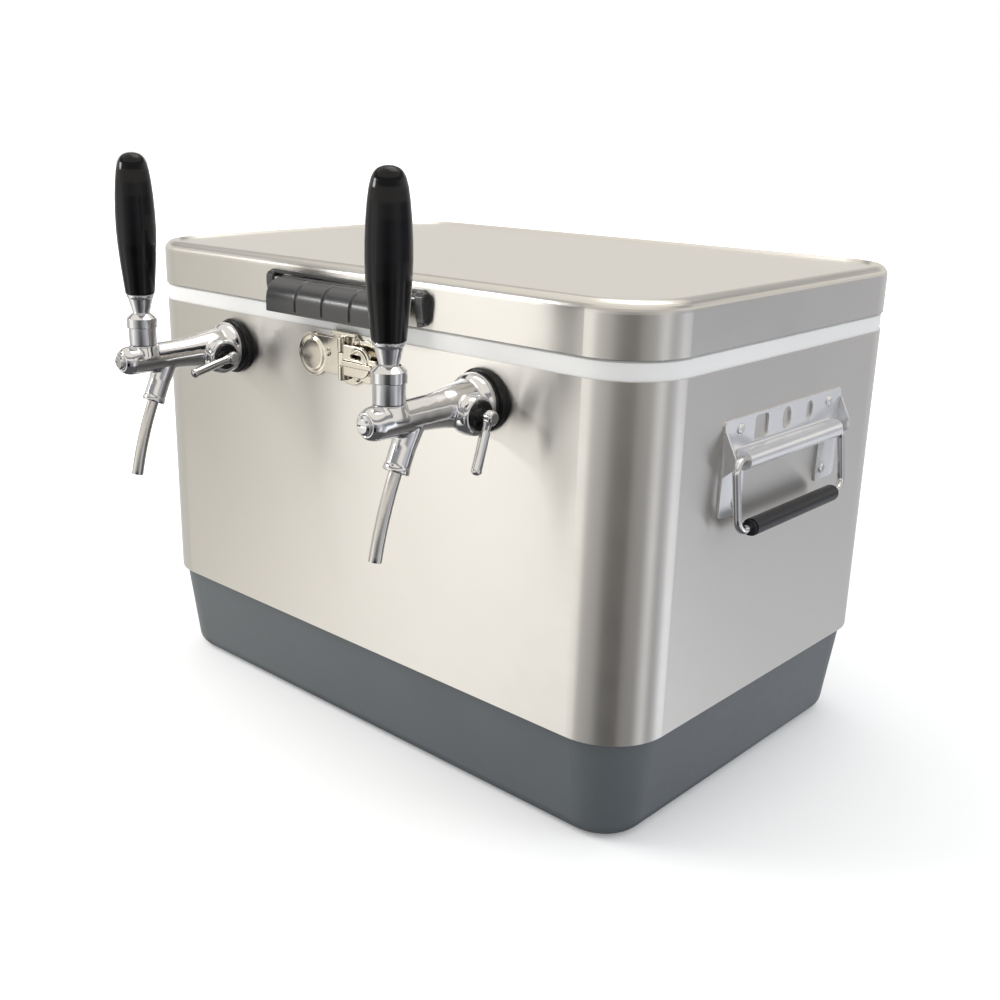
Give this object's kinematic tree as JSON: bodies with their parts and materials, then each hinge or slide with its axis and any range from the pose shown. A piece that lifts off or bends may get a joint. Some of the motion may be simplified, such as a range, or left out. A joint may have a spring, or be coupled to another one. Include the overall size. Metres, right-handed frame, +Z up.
{
  "type": "jockey box beer cooler",
  "caption": "Steel-belted insulated cooler with hinged lid, draught taps on its front wall, cooling coils inside and folding carrying handles.",
  "frame": {"origin": "centre of the tub's underside, on the ground", "axes": "+X to the right along the front wall, -Y out of the front where the taps stand, +Z up"},
  "size_m": [0.6432, 0.546, 0.515],
  "materials": {
    "body_steel": "satin, fine grain",
    "lid_steel": "satin, fine grain",
    "grey_tub": "fine moulded grain",
    "white_liner": "semi-gloss",
    "foam": "rigid foam",
    "hinge_steel": "satin",
    "latch_grey": "satin enamel",
    "latch_body": "satin moulding",
    "catch_nickel": "warm polished plate",
    "chrome": "polished plate",
    "nut_brass": "plain turned",
    "black_moulding": "satin",
    "black_gloss": "high gloss",
    "spout_steel": "satin tube",
    "handle_steel": "satin pressed",
    "bail_steel": "bright wire",
    "grip_rubber": "satin sleeve",
    "gasket_rubber": "matt",
    "coil_steel": "drawn tube",
    "hose_clear": "translucent hose"
  },
  "bodies": {
    "case": {"base_tub": "grey_tub", "outer_shell": "body_steel", "inner_liner": "white_liner", "case_foam": "foam", "hinge_body_leaves": "hinge_steel", "hinge_pins": "hinge_steel", "hinge_body_screws": "hinge_steel", "catch_base": "catch_nickel", "catch_pin": "hinge_steel", "catch_rivets": "catch_nickel", "tap_shanks": "chrome", "wall_flanges": "black_moulding", "shank_nuts": "nut_brass", "tail_barbs": "nut_brass", "front_plugs": "chrome", "tap_body_right": "chrome", "bonnet_right": "chrome", "flow_gland_right": "black_moulding", "spout_right": "spout_steel", "tap_body_left": "chrome", "bonnet_left": "chrome", "flow_gland_left": "black_moulding", "spout_left": "spout_steel", "handle_plate_right": "handle_steel", "handle_plate_left": "handle_steel", "handle_screws": "bail_steel", "drain_spout": "white_liner", "drain_gasket": "gasket_rubber", "coil_right": "coil_steel", "coil_left": "coil_steel", "tap_hoses": "hose_clear", "inlet_hoses": "hose_clear", "hose_clamps": "chrome", "inlet_shanks": "chrome"},
    "lid": {"lid_shell": "lid_steel", "lid_liner": "white_liner", "lid_foam": "foam", "hinge_lid_leaves": "hinge_steel", "hinge_lid_screws": "hinge_steel", "latch_frame": "latch_grey", "latch_pin": "hinge_steel"},
    "latch": {"latch_handle": "latch_body"},
    "catch_arm": {"catch_lever": "catch_nickel"},
    "lever_right": {"tap_lever_right": "chrome", "ferrule_right": "chrome", "tap_handle_right": "black_gloss"},
    "piston_slide_right": {"piston_right": "chrome"},
    "flow_control_right": {"flow_lever_right": "chrome"},
    "bail_swing_right": {"bail_right": "bail_steel", "grip_right": "grip_rubber"},
    "lever_left": {"tap_lever_left": "chrome", "ferrule_left": "chrome", "tap_handle_left": "black_gloss"},
    "piston_slide_left": {"piston_left": "chrome"},
    "flow_control_left": {"flow_lever_left": "chrome"},
    "bail_swing_left": {"bail_left": "bail_steel", "grip_left": "grip_rubber"},
    "plug": {"drain_plug": "white_liner"}
  },
  "joints": [
    {"name": "lid_hinge", "type": "hinge", "parent": "case", "child": "lid", "pos_m": [0, 0.2047, 0.388], "axis": [-1, 0, 0], "range_deg": [0, 105]},
    {"name": "latch_hinge", "type": "hinge", "parent": "lid", "child": "latch", "pos_m": [0, -0.204, 0.411], "axis": [-1, 0, 0], "range_deg": [0, 50]},
    {"name": "catch_hinge", "type": "hinge", "parent": "case", "child": "catch_arm", "pos_m": [0, -0.2048, 0.352], "axis": [0, 0, -1], "range_deg": [0, 100]},
    {"name": "tap_lever_hinge_right", "type": "hinge", "parent": "case", "child": "lever_right", "pos_m": [0.155, -0.297, 0.3615], "axis": [1, 0, 0], "range_deg": [0, 30]},
    {"name": "piston_travel_right", "type": "slide", "parent": "case", "child": "piston_slide_right", "axis": [0, 1, 0], "range_m": [0, 0.0103]},
    {"name": "flow_hinge_right", "type": "hinge", "parent": "case", "child": "flow_control_right", "pos_m": [0.155, -0.228, 0.3385], "axis": [-1, 0, 0], "range_deg": [-17, 133]},
    {"name": "bail_hinge_right", "type": "hinge", "parent": "case", "child": "bail_swing_right", "pos_m": [0.308, 0, 0.301], "axis": [0, -1, 0], "range_deg": [-5, 83]},
    {"name": "tap_lever_hinge_left", "type": "hinge", "parent": "case", "child": "lever_left", "pos_m": [-0.155, -0.297, 0.3615], "axis": [1, 0, 0], "range_deg": [0, 30]},
    {"name": "piston_travel_left", "type": "slide", "parent": "case", "child": "piston_slide_left", "axis": [0, 1, 0], "range_m": [0, 0.0103]},
    {"name": "flow_hinge_left", "type": "hinge", "parent": "case", "child": "flow_control_left", "pos_m": [-0.155, -0.228, 0.3385], "axis": [-1, 0, 0], "range_deg": [-77, 73]},
    {"name": "bail_hinge_left", "type": "hinge", "parent": "case", "child": "bail_swing_left", "pos_m": [-0.308, 0, 0.301], "axis": [0, 1, 0], "range_deg": [-5, 83]},
    {"name": "plug_out", "type": "slide", "parent": "case", "child": "plug", "axis": [-1, 0, 0], "range_m": [0, 0.03]}
  ],
  "couplings": [
    {"joint": "piston_travel_right", "follows": "tap_lever_hinge_right", "m_per_rad": 0.0195},
    {"joint": "piston_travel_left", "follows": "tap_lever_hinge_left", "m_per_rad": 0.0195}
  ]
}
